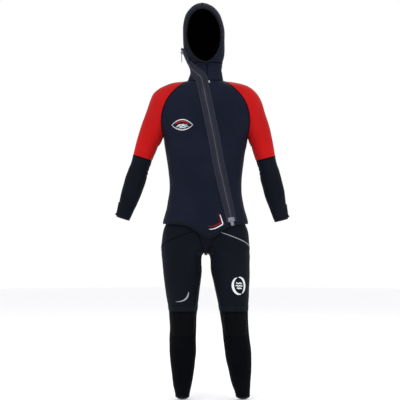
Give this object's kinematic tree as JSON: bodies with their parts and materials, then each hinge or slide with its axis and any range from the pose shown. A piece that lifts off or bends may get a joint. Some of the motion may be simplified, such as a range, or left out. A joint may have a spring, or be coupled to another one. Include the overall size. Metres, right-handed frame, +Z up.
{
  "type": "hooded diving suit",
  "caption": "Hooded two-piece neoprene diving suit: jacket with diagonal front zip, red raglan sleeves and beaver tail, over padded-knee trousers.",
  "frame": {"origin": "middle of the neck seam, where the collar joins the body of the jacket and where a wearer or a display form carries the suit", "axes": "+X to the wearer's left, +Y to the back, +Z up; the front of the suit faces -Y"},
  "size_m": [0.7658, 0.2484, 1.7418],
  "materials": {
    "shell_navy": "nylon-faced neoprene, matt navy black",
    "shell_black": "nylon-faced neoprene, matt black",
    "shell_red": "nylon-faced neoprene, bright red",
    "zip_tape": "woven zip tape, charcoal",
    "zip_teeth": "moulded zip teeth, grey",
    "zip_metal": "satin metal, worn bright at the edges",
    "pad_rubber": "textured black rubber-coated neoprene",
    "print_white": "printed white film",
    "trim_grey": "printed grey film"
  },
  "bodies": {
    "suit": {"torso_front_right": "shell_navy", "torso_front_left": "shell_navy", "torso_back": "shell_navy", "hem_band": "shell_black", "sleeve_upper_right": "shell_red", "elbow_right": "shell_navy", "hip_panel_right": "shell_black", "groin_right": "shell_black", "hip_piping_right": "shell_black", "sleeve_upper_left": "shell_red", "elbow_left": "shell_navy", "hip_panel_left": "shell_black", "groin_left": "shell_black", "hip_piping_left": "trim_grey", "collar": "shell_navy", "hood_right": "shell_navy", "hood_left": "shell_navy", "face_seal": "shell_black", "zip_tape_right": "zip_tape", "zip_tape_left": "zip_tape", "zip_chain": "zip_teeth", "zip_backing_flap": "shell_black", "zip_foot_box": "zip_metal", "zip_top_stop": "zip_teeth", "waistband": "shell_black", "beaver_tail": "shell_navy", "tail_pad": "shell_black", "chest_mark": "print_white", "hem_chevron": "print_white", "neck_tab": "trim_grey"},
    "zip_slider": {"zip_slider": "zip_metal", "zip_bail": "zip_metal"},
    "zip_pull": {"zip_pull": "zip_metal"},
    "wrist_slider_right": {"wrist_slider_right": "zip_metal"},
    "forearm_right": {"forearm_right": "shell_navy", "cuff_hem_right": "shell_black", "wrist_zip_right": "zip_tape"},
    "thigh_right": {"thigh_right": "shell_black", "knee_band_right": "shell_black", "knee_right": "pad_rubber", "knee_pad_right": "pad_rubber", "knee_mark": "trim_grey"},
    "shin_right": {"shin_right": "pad_rubber", "ankle_hem_right": "pad_rubber"},
    "wrist_slider_left": {"wrist_slider_left": "zip_metal"},
    "forearm_left": {"forearm_left": "shell_navy", "cuff_hem_left": "shell_black", "wrist_zip_left": "zip_tape"},
    "thigh_left": {"thigh_left": "shell_black", "knee_band_left": "shell_black", "knee_left": "pad_rubber", "knee_pad_left": "pad_rubber", "thigh_mark": "print_white"},
    "shin_left": {"shin_left": "pad_rubber", "ankle_hem_left": "pad_rubber"}
  },
  "joints": [
    {"name": "main_zip_slide", "type": "slide", "parent": "suit", "child": "zip_slider", "axis": [0.3659, -0.1356, -0.9207], "range_m": [0, 0.034]},
    {"name": "zip_pull_swing", "type": "hinge", "parent": "zip_slider", "child": "zip_pull", "pos_m": [-0.10559, -0.01961, 0.12443], "axis": [-0.1786, 0.9607, -0.2125], "range_deg": [-12, 135]},
    {"name": "elbow_flex_right", "type": "hinge", "parent": "suit", "child": "forearm_right", "pos_m": [-0.2926, 0, -0.3855], "axis": [-0.9511, 0, 0.309], "range_deg": [0, 85], "deforming": ["elbow_right"]},
    {"name": "wrist_zip_slide_right", "type": "slide", "parent": "forearm_right", "child": "wrist_slider_right", "axis": [0.2048, 0, 0.9788], "range_m": [0, 0.045]},
    {"name": "hip_flex_right", "type": "hinge", "parent": "suit", "child": "thigh_right", "pos_m": [-0.09724, 0, -0.786], "axis": [-1, 0, 0], "range_deg": [0, 55], "deforming": ["groin_right"]},
    {"name": "knee_flex_right", "type": "hinge", "parent": "thigh_right", "child": "shin_right", "pos_m": [-0.09926, 0, -1.074], "axis": [1, 0, 0], "range_deg": [0, 80], "deforming": ["knee_right", "knee_pad_right"]},
    {"name": "elbow_flex_left", "type": "hinge", "parent": "suit", "child": "forearm_left", "pos_m": [0.2779, 0, -0.3895], "axis": [-0.9694, 0, -0.2453], "range_deg": [0, 85], "deforming": ["elbow_left"]},
    {"name": "wrist_zip_slide_left", "type": "slide", "parent": "forearm_left", "child": "wrist_slider_left", "axis": [-0.1394, 0, 0.9902], "range_m": [0, 0.045]},
    {"name": "hip_flex_left", "type": "hinge", "parent": "suit", "child": "thigh_left", "pos_m": [0.10064, 0, -0.786], "axis": [-1, 0, 0], "range_deg": [0, 55], "deforming": ["groin_left"]},
    {"name": "knee_flex_left", "type": "hinge", "parent": "thigh_left", "child": "shin_left", "pos_m": [0.13059, 0, -1.074], "axis": [1, 0, 0], "range_deg": [0, 80], "deforming": ["knee_left", "knee_pad_left"]}
  ]
}
